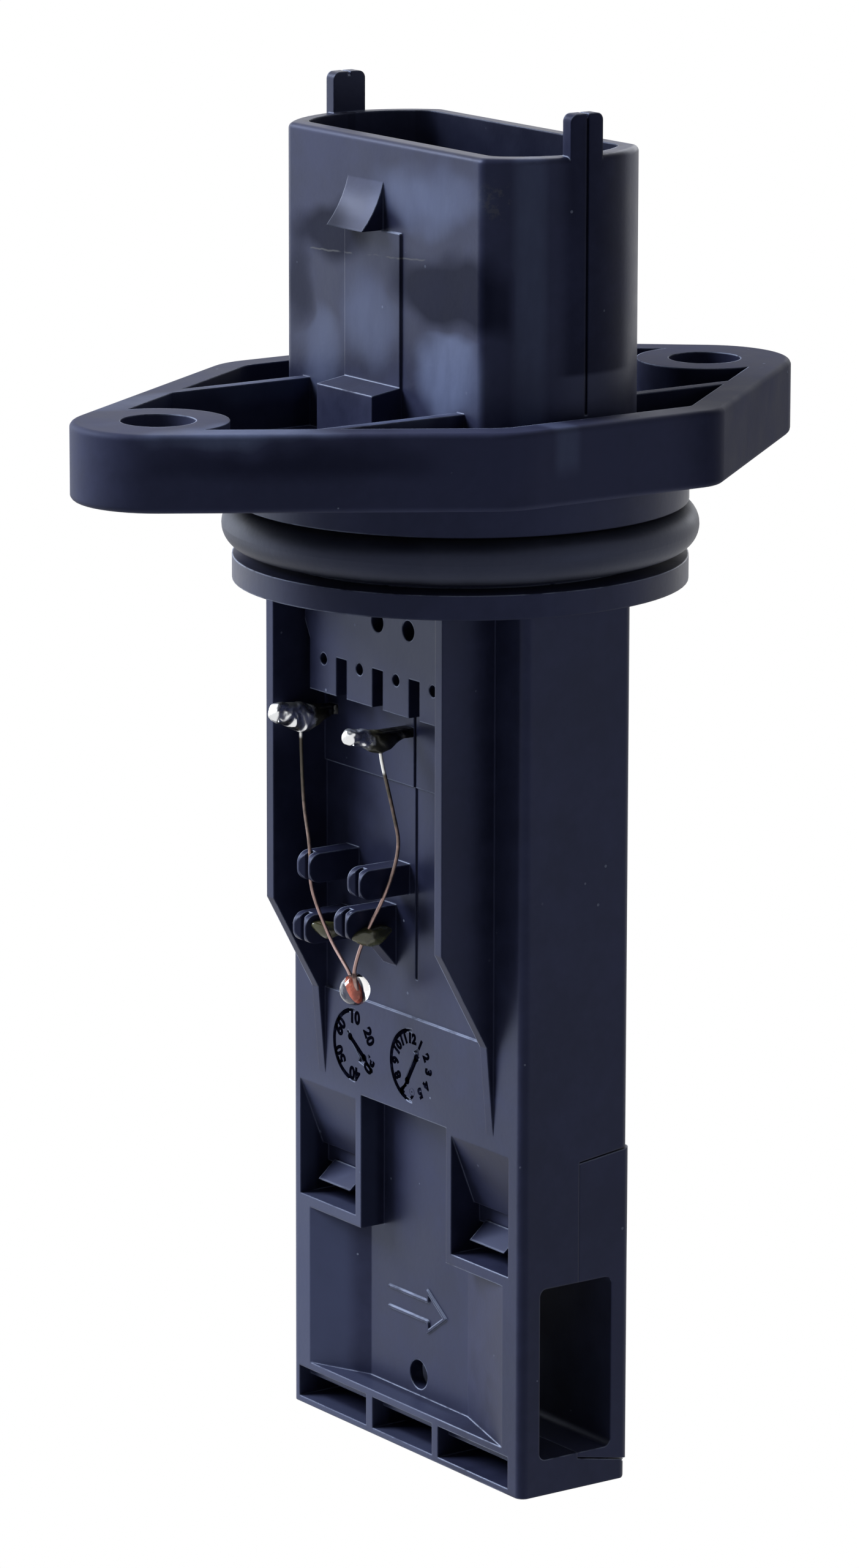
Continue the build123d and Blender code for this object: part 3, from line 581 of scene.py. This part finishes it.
# sensing element: polished silicon under a thin film
siliconLook = {"blue": (0.1, 0.12, 0.22), "violet": (0.16, 0.13, 0.2)}


def siliconSkin(p):
    film = p.noise(900, 2)
    return {
        "Base Color": film.step(0.35, 0.7).between(siliconLook["blue"], siliconLook["violet"]),
        "Roughness": 0.06 + film * 0.06,
    }


sensorSilicon = newMaterial("sensor_silicon", siliconSkin, Metallic=0.8)

# material of each CAD node that stays
looks = {
    "main_housing": housingPlastic,
    "channel_cover": coverPlastic,
    "electronics_cover": coverPlastic,
    "o_ring": sealRubber,
    "circuit_board": boardLaminate,
    "evaluation_chip": bodies["chip_plastic"],
    "board_capacitors": bodies["capacitor_body"],
    "board_resistors": bodies["resistor_body"],
    "bond_wires": tinnedMetal,
    "sensor_carrier": bodies["carrier_plastic"],
    "sensing_element": sensorSilicon,
}
for side in ("left", "right"):
    looks["bead_post_" + side] = solderMetal[side]
    looks["lead_wire_" + side] = leadMetal
for number in range(1, 6):
    looks[f"terminal_{number}"] = tinnedMetal
for name, material in looks.items():
    dress(nodes[name], material)
print("materials set on", len(looks), "nodes")


# a closed grid of rings as a mesh, with one point at each end; rings is (n, m, 3) in millimetres
def ringMesh(name, rings, ends, material):
    count, around = rings.shape[:2]
    points = np.concatenate([rings.reshape(-1, 3), ends]) * mm
    i, j = np.meshgrid(np.arange(count - 1), np.arange(around), indexing="ij")
    here, beside = i * around + j, i * around + (j + 1) % around
    quads = np.stack([here, beside, beside + around, here + around], axis=-1).reshape(-1, 4)
    k = np.arange(around)
    beyond = (k + 1) % around
    base = (count - 1) * around
    first, last = np.full(around, count * around), np.full(around, count * around + 1)
    top = np.stack([first, beyond, k], axis=1)
    bottom = np.stack([last, base + k, base + beyond], axis=1)
    mesh = bpy.data.meshes.new(name)
    mesh.from_pydata(points.tolist(), [], quads.tolist() + top.tolist() + bottom.tolist())
    mesh.polygons.foreach_set("use_smooth", np.ones(len(mesh.polygons), dtype=bool))
    piece = bpy.data.objects.new(name, mesh)
    bpy.context.collection.objects.link(piece)
    dress(piece, material)
    return piece


# uneven swelling: three waves along t and round by angle a, with rates along t and phases
def ripple(t, a, rates, phases):
    turns, heights = (2, -3, 5), (1.0, 0.7, 0.5)
    waves = zip(heights, rates, turns, phases)
    return sum(height * np.sin(rate * t + turn * a + phase) for height, rate, turn, phase in waves)


# Along a line from start to end, radius(t) = girth * 2 * sqrt(t (1 - t)) * (thin + (1 - thin) * belly),
# where belly = sin(pi * t^lean), and the radius is multiplied by 1 + lump * ripple. The rings are squashed
# by flat in height, and the line sags by sag * belly^2 below the straight.
def makeLump(name, s, material):
    start, end = np.array(s["start"]), np.array(s["end"])
    axis = (end - start) / np.linalg.norm(end - start)
    side = np.cross(axis, (0, 0, 1.0))
    side = side / np.linalg.norm(side)
    over = np.cross(side, axis)
    t = (1 - np.cos(np.linspace(0.03, 0.97, s["rings"]) * np.pi)) / 2
    a = np.linspace(0, 2 * np.pi, s["around"], endpoint=False)
    T, A = np.meshgrid(t, a, indexing="ij")
    belly = np.sin(np.pi * T ** s["lean"])
    radius = s["girth"] * 2 * np.sqrt(T * (1 - T)) * (s["thin"] + (1 - s["thin"]) * belly)
    radius = radius * (1 + s["lump"] * ripple(T, A, (9, 17, 26), s["phases"]))
    centre = start + T[..., None] * (end - start) - (s["sag"] * belly**2)[..., None] * over
    aside, above = np.cos(A)[..., None] * side, s["flat"] * np.sin(A)[..., None] * over
    rings = centre + radius[..., None] * (aside + above)
    return ringMesh(name, rings, np.array([start, end]), material)


# Through rows of (y, half width, top, bottom), by cubic Hermite pieces with slopes from the neighbours.
# Each ring is x + w * round(cos a), z = middle + h * round(sin a), where round(c) = c |c|^-boxy,
# and w and h are multiplied by 1 + lump * ripple.
def makeRowLump(name, s, material):
    rows = np.array(s["rows"])
    slope = np.gradient(rows, axis=0)
    place = np.linspace(0, len(rows) - 1, s["count"])
    k = np.minimum(place.astype(int), len(rows) - 2)
    f = (place - k)[:, None]
    fine = (
        (1 + 2 * f) * (1 - f) ** 2 * rows[k]
        + f * (1 - f) ** 2 * slope[k]
        + f**2 * (3 - 2 * f) * rows[k + 1]
        + f**2 * (f - 1) * slope[k + 1]
    )
    a = np.linspace(0, 2 * np.pi, s["around"], endpoint=False)
    P, A = np.meshgrid(place, a, indexing="ij")
    y, wide, top, bottom = (np.broadcast_to(fine[:, [i]], P.shape) for i in range(4))
    swell = 1 + s["lump"] * ripple(P, A, (1.9, 3.1, 4.6), s["phases"])
    across, upward = (c * (np.abs(c) + 1e-6) ** -s["boxy"] for c in (np.cos(A), np.sin(A)))
    x = s["x"] + wide * swell * across
    z = (top + bottom) / 2 + (top - bottom) / 2 * swell * upward
    rings = np.stack([x, y, z], axis=-1)
    ends = np.stack([rings[0].mean(axis=0), rings[-1].mean(axis=0)])
    return ringMesh(name, rings, ends, material)


# lumps of solder round the posts' ends, in millimetres: belly below, where the lead comes out
solderLumps = {
    "left": {
        "x": -8.5, "lump": 0.035, "boxy": 0.15, "count": 72, "around": 56, "phases": (0.3, 2.1, 4.0),
        "rows": (
            (-9.36, 0.05, -17.2, -17.36), (-9.22, 0.3, -16.98, -17.56), (-8.95, 0.56, -16.6, -17.76),
            (-8.5, 0.64, -16.5, -17.96), (-7.8, 0.7, -16.58, -18.3), (-7.1, 0.74, -16.64, -18.62),
            (-6.5, 0.74, -16.78, -18.68), (-5.9, 0.7, -16.92, -18.48), (-5.2, 0.62, -17.0, -18.1),
            (-4.6, 0.55, -17.04, -17.8), (-4.4, 0.5, -17.12, -17.7),
        ),
    },
    "right": {
        "x": 0.2, "lump": 0.035, "boxy": 0.15, "count": 72, "around": 56, "phases": (1.9, 0.4, 5.2),
        "rows": (
            (-9.42, 0.06, -17.22, -17.4), (-9.3, 0.34, -16.98, -17.58), (-9.0, 0.56, -16.66, -17.76),
            (-8.5, 0.62, -16.72, -17.86), (-7.9, 0.65, -16.82, -18.02), (-7.3, 0.68, -16.92, -18.34),
            (-6.6, 0.7, -17.0, -18.6), (-6.0, 0.67, -17.02, -18.4), (-5.3, 0.6, -17.04, -17.95),
            (-4.6, 0.55, -17.05, -17.76), (-4.4, 0.5, -17.12, -17.7),
        ),
    },
}
for side, s in solderLumps.items():
    lump = makeRowLump("solder_lump_" + side, s, solderMetal[side])
    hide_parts("solder_" + side)
    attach(lump, "root")

# drops of adhesive drawn out between each lead and its hook
adhesiveLumps = {
    "left": {
        "start": (-6.2, -7.6, -31.2), "end": (-5.2, -5.3, -31.6), "girth": 0.6, "thin": 0.7,
        "lean": 0.9, "sag": 0.25, "flat": 0.95, "lump": 0.02, "phases": (0.8, 1.3, 2.2),
        "rings": 40, "around": 36,
    },
    "right": {
        "start": (-1.5, -7.6, -31.2), "end": (-1.0, -4.7, -30.9), "girth": 0.72, "thin": 0.6,
        "lean": 1.0, "sag": 0.15, "flat": 0.95, "lump": 0.03, "phases": (2.4, 0.2, 3.3),
        "rings": 40, "around": 36,
    },
}
for side, s in adhesiveLumps.items():
    lump = makeLump("adhesive_lump_" + side, s, adhesiveResin)
    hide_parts("adhesive_" + side)
    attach(lump, "root")

# bead of clear glass with the thermistor's body aslant inside it, in millimetres:
# r(v) = radius * (1 + neck * exp(-(v / spread)^2)), with the angle v from the top, where the leads enter
beadShape = {
    "centre": (-2.1, -6.9, -34.9), "radius": 1.02, "neck": 0.14, "spread": 0.4,
    "rings": 64, "around": 64,
}
thermistorBody = {
    "start": (-2.6, -6.95, -34.2), "end": (-1.75, -6.85, -35.55), "girth": 0.34, "thin": 0.85,
    "lean": 1.0, "sag": 0.0, "flat": 0.85, "lump": 0.02, "phases": (0.1, 0.5, 0.9),
    "rings": 32, "around": 28,
}


def makeBead(s):
    down = np.linspace(0, np.pi, s["rings"] + 2)[1:-1]
    v, a = np.meshgrid(down, np.linspace(0, 2 * np.pi, s["around"], endpoint=False), indexing="ij")
    reach = s["radius"] * (1 + s["neck"] * np.exp(-((v / s["spread"]) ** 2)))
    rings = np.stack([np.sin(v) * np.cos(a), -np.sin(v) * np.sin(a), np.cos(v)], axis=-1) * reach[..., None]
    top = s["radius"] * (1 + s["neck"])
    ends = np.array([(0, 0, top), (0, 0, -s["radius"])])
    return ringMesh("bead_shell", rings + s["centre"], ends + s["centre"], beadGlass)


beadPieces = {
    "glass_bead": (makeBead(beadShape), "bead_glass"),
    "thermistor": (makeLump("thermistor_body", thermistorBody, thermistorCeramic), "thermistor"),
}
for node, (piece, slot) in beadPieces.items():
    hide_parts(node)
    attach(piece, "root")
print("solder, adhesive and bead made")

# plain numbers round the two dials, as thin dark plates on the wide face that paint the shade in the
# engraved marks; sizes in millimetres
dialNumbers = {
    "left": {
        "centre": (-6.05, -39.95), "labels": ("10", "20", "30", "40", "50", "60"),
        "first": 90, "step": -60, "radius": 1.9, "height": 1.2,
    },
    "right": {
        "centre": (0.6, -39.9), "labels": [str(n) for n in range(1, 13)],
        "first": 60, "step": -30, "radius": 1.85, "height": 0.92,
    },
}
# each dial's hand, thick part and thin part, from (x, z) to (x, z)
dialHands = {
    "left": {"thick": ((-6.57, -39.44), (-4.95, -40.55)), "thin": ((-4.95, -40.55), (-4.13, -41.26))},
    "right": {"thick": ((1.1, -39.25), (0.05, -41.0)), "thin": ((0.05, -41.0), (-0.58, -41.88))},
}
numberLook = {
    "face": -4.2, "bold": 0.06, "depth": 0.012, "ink": (0.0012, 0.0012, 0.003),
    "ring": (2.23, 2.53), "ringSpan": (106, 254), "ringSteps": 48,
    "thickHalf": 0.17, "thinHalf": 0.1, "knob": 0.25, "point": 0.19, "knobPoints": 20,
}


# painted shade for the engraved numbers, ring and hands, lighter in patches
def inkSkin(p):
    lightened = p.noise(1800, 3).step(0.55, 0.85)
    return {
        "Base Color": lightened.between(numberLook["ink"], housingLook["deep"]),
        "Roughness": 0.5 + lightened * 0.2,
        "Normal": p.bump(lightened * 0.02, 0.4),
    }


engravedShadeMaterial = newMaterial("dial_engraved_shade", inkSkin, Specular_IOR_Level=0.0)


# half ring, hand and its knobs as flat outlines (x, z) in millimetres
def dialOutlines(side, centre, look):
    steps = look["ringSteps"]
    turn = np.radians(np.linspace(*look["ringSpan"], steps + 1))
    arc = np.stack([np.cos(turn), np.sin(turn)], axis=1)
    inner, outer = (arc * radius + centre for radius in look["ring"])
    ring = [np.concatenate([outer[k : k + 2], inner[k : k + 2][::-1]]) for k in range(steps)]
    hands = []
    for name, half in (("thick", look["thickHalf"]), ("thin", look["thinHalf"])):
        start, end = (np.array(point) for point in dialHands[side][name])
        along = (end - start) / np.linalg.norm(end - start)
        aside = np.array([-along[1], along[0]]) * half
        hands.append(np.array([start + aside, start - aside, end - aside, end + aside]))
    angles = np.linspace(0, 2 * np.pi, look["knobPoints"], endpoint=False)
    disc = np.stack([np.cos(angles), np.sin(angles)], axis=1)
    spots = [(dialHands[side]["thick"][0], look["knob"]), (dialHands[side]["thick"][1], look["knob"])]
    spots.append((dialHands[side]["thin"][1], look["point"]))
    return ring + hands + [disc * radius + np.array(spot) for spot, radius in spots]


# an outline as a thin plate that stands out of the face by depth
def plate(outline, look):
    count = len(outline)
    flat = np.full((count, 1), look["face"])
    under = np.concatenate([outline[:, :1], flat + look["depth"], outline[:, 1:]], axis=1)
    over = np.concatenate([outline[:, :1], flat - look["depth"], outline[:, 1:]], axis=1)
    mesh = bpy.data.meshes.new("dial_plate")
    walls = [(k, (k + 1) % count, count + (k + 1) % count, count + k) for k in range(count)]
    caps = [tuple(range(count))[::-1], tuple(range(count, 2 * count))]
    mesh.from_pydata((np.concatenate([under, over]) * mm).tolist(), [], walls + caps)
    return mesh


def makeNumbers(side, s, look):
    parts = [plate(outline, look) for outline in dialOutlines(side, np.array(s["centre"]), look)]
    for k, label in enumerate(s["labels"]):
        curve = bpy.data.curves.new("number", "FONT")
        curve.body = label
        curve.size = s["height"] * mm
        curve.align_x, curve.align_y = "CENTER", "CENTER"
        curve.extrude = look["depth"] * mm
        curve.offset = look["bold"] * mm
        angle = math.radians(s["first"] + k * s["step"])
        cx, cz = s["centre"]
        across, upward = s["radius"] * math.cos(angle), s["radius"] * math.sin(angle)
        place = Vector((cx + across, look["face"], cz + upward))
        word = bpy.data.objects.new("number", curve)
        bpy.context.collection.objects.link(word)
        bpy.context.view_layer.update()
        mesh = bpy.data.meshes.new_from_object(word)
        stand = Matrix.Rotation(math.radians(90), 4, "X")
        spin = Matrix.Rotation(math.pi / 2 - angle, 4, "Y")
        mesh.transform(Matrix.Translation(place * mm) @ spin @ stand)
        bpy.data.objects.remove(word)
        parts.append(mesh)
    points = [np.array([v.co[:] for v in mesh.vertices]) for mesh in parts]
    starts = np.cumsum([0] + [len(p) for p in points])
    faces = [[start + i for i in f.vertices] for mesh, start in zip(parts, starts) for f in mesh.polygons]
    joined = bpy.data.meshes.new("dial_numbers_" + side)
    joined.from_pydata(np.concatenate(points).tolist(), [], faces)
    piece = bpy.data.objects.new("dial_numbers_" + side, joined)
    bpy.context.collection.objects.link(piece)
    # the dark plates are painted shade in the engraved dial
    dress(piece, engravedShadeMaterial)
    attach(piece, "root")


for side, s in dialNumbers.items():
    makeNumbers(side, s, numberLook)
print("dial numbers made")


# camera solved from the photograph: focal length and principal row in its pixels
cameraSettings = {
    "azimuth": 54.83,
    "elevation": 11.68,
    "roll": 0.125,
    "distance": 451.7 * mm,
    "sideways": -1.993 * mm,
    "height": -12.153 * mm,
    "focalPixels": 11275.9,
    "principalRow": 1052.1,
    "imageHeight": 2560,
    "sensor": 36,
    "clip": (0.01, 20),
}


def makeCamera(s):
    a, e, r = (math.radians(s[k]) for k in ("azimuth", "elevation", "roll"))
    back = Vector((math.sin(a) * math.cos(e), -math.cos(a) * math.cos(e), math.sin(e)))
    right = Vector((math.cos(a), math.sin(a), 0))
    up = back.cross(right)
    across = math.cos(r) * right + math.sin(r) * up
    upright = -math.sin(r) * right + math.cos(r) * up
    data = bpy.data.cameras.new("camera")
    data.sensor_width = s["sensor"]
    data.lens = s["focalPixels"] / s["imageHeight"] * s["sensor"]
    data.shift_y = (s["principalRow"] - s["imageHeight"] / 2) / s["imageHeight"]
    data.clip_start, data.clip_end = s["clip"]
    camera = bpy.data.objects.new("camera", data)
    turn = Matrix((across, upright, back)).transposed().to_4x4()
    place = right * s["sideways"] + Vector((0, 0, s["height"])) + back * s["distance"]
    camera.matrix_world = Matrix.Translation(place) @ turn
    bpy.context.collection.objects.link(camera)
    bpy.context.scene.camera = camera


makeCamera(cameraSettings)
print("camera set")


# soft panels: place and size in metres, power in watts, colour
lightPanels = {
    "key": ((-0.45, -0.45, 0.45), (0.40, 0.40), 11.6, (0.85, 0.92, 1.0)),
    "low": ((-0.62, -0.44, -0.13), (0.35, 0.50), 1.05, (0.78, 0.87, 1.0)),
    "left": ((-0.75, -0.10, 0.10), (0.35, 0.50), 1.2, (0.85, 0.92, 1.0)),
    "right": ((0.70, 0.30, 0.00), (0.30, 0.50), 0.4, (0.95, 0.97, 1.0)),
    "top": ((-0.40, 0.35, 0.50), (0.40, 0.40), 0.8, (0.95, 0.97, 1.0)),
    "back": ((-0.35, 0.60, 0.25), (0.40, 0.50), 1.4, (0.95, 0.97, 1.0)),
}
lightAim = Vector((0, 0, -0.035))
for name, (place, size, power, colour) in lightPanels.items():
    data = bpy.data.lights.new("light_" + name, "AREA")
    data.shape = "RECTANGLE"
    data.size, data.size_y = size
    data.energy = power
    data.color = colour
    lamp = bpy.data.objects.new("light_" + name, data)
    toward = lightAim - Vector(place)
    lamp.matrix_world = Matrix.Translation(place) @ toward.to_track_quat("-Z", "Y").to_matrix().to_4x4()
    bpy.context.collection.objects.link(lamp)


# 1 for rays that show the background: straight from the camera, off a glossy surface or through glass
def seenRays(tree):
    path = tree.nodes.new("ShaderNodeLightPath")
    kinds = ("Is Camera Ray", "Is Glossy Ray", "Is Transmission Ray")
    straight, glossy, clear = (Link(tree, path.outputs[kind]) for kind in kinds)
    return straight.most(glossy).most(clear)


# white where it is seen, dimmer as light
def makeWorld(seen, given):
    world = bpy.data.worlds.new("world")
    world.use_nodes = True
    tree = world.node_tree
    tree.nodes.clear()
    far = tree.nodes.new("ShaderNodeBackground")
    near = tree.nodes.new("ShaderNodeBackground")
    mix = tree.nodes.new("ShaderNodeMixShader")
    output = tree.nodes.new("ShaderNodeOutputWorld")
    far.inputs[0].default_value = (*given, 1)
    near.inputs[0].default_value = (*seen, 1)
    plug(mix.inputs[0], seenRays(tree))
    tree.links.new(far.outputs[0], mix.inputs[1])
    tree.links.new(near.outputs[0], mix.inputs[2])
    tree.links.new(mix.outputs[0], output.inputs[0])
    bpy.context.scene.world = world


worldColours = {"seen": (1, 1, 1), "given": (0.07, 0.074, 0.082)}
makeWorld(**worldColours)

# pale floor, well under the probe's tip; level and half width in metres
floorSettings = {"level": -0.35, "half": 3.0, "paint": (0.8, 0.8, 0.8)}


def makeFloor(s):
    h, z = s["half"], s["level"]
    mesh = bpy.data.meshes.new("floor")
    mesh.from_pydata([(-h, -h, z), (h, -h, z), (h, h, z), (-h, h, z)], [], [(0, 1, 2, 3)])
    floor = bpy.data.objects.new("floor", mesh)
    bpy.context.collection.objects.link(floor)
    material = bpy.data.materials.new("floor_paint")
    material.use_nodes = True
    tree = material.node_tree
    tree.nodes.clear()
    paint = tree.nodes.new("ShaderNodeBsdfDiffuse")
    glow = tree.nodes.new("ShaderNodeEmission")
    mix = tree.nodes.new("ShaderNodeMixShader")
    output = tree.nodes.new("ShaderNodeOutputMaterial")
    paint.inputs[0].default_value = (*s["paint"], 1)
    glow.inputs[0].default_value = (1, 1, 1, 1)
    glow.inputs[1].default_value = 1.0
    plug(mix.inputs[0], seenRays(tree))
    tree.links.new(paint.outputs[0], mix.inputs[1])
    tree.links.new(glow.outputs[0], mix.inputs[2])
    tree.links.new(mix.outputs[0], output.inputs[0])
    dress(floor, material)


makeFloor(floorSettings)
bpy.context.scene.view_settings.view_transform = "Standard"
print("lights, world and floor set")
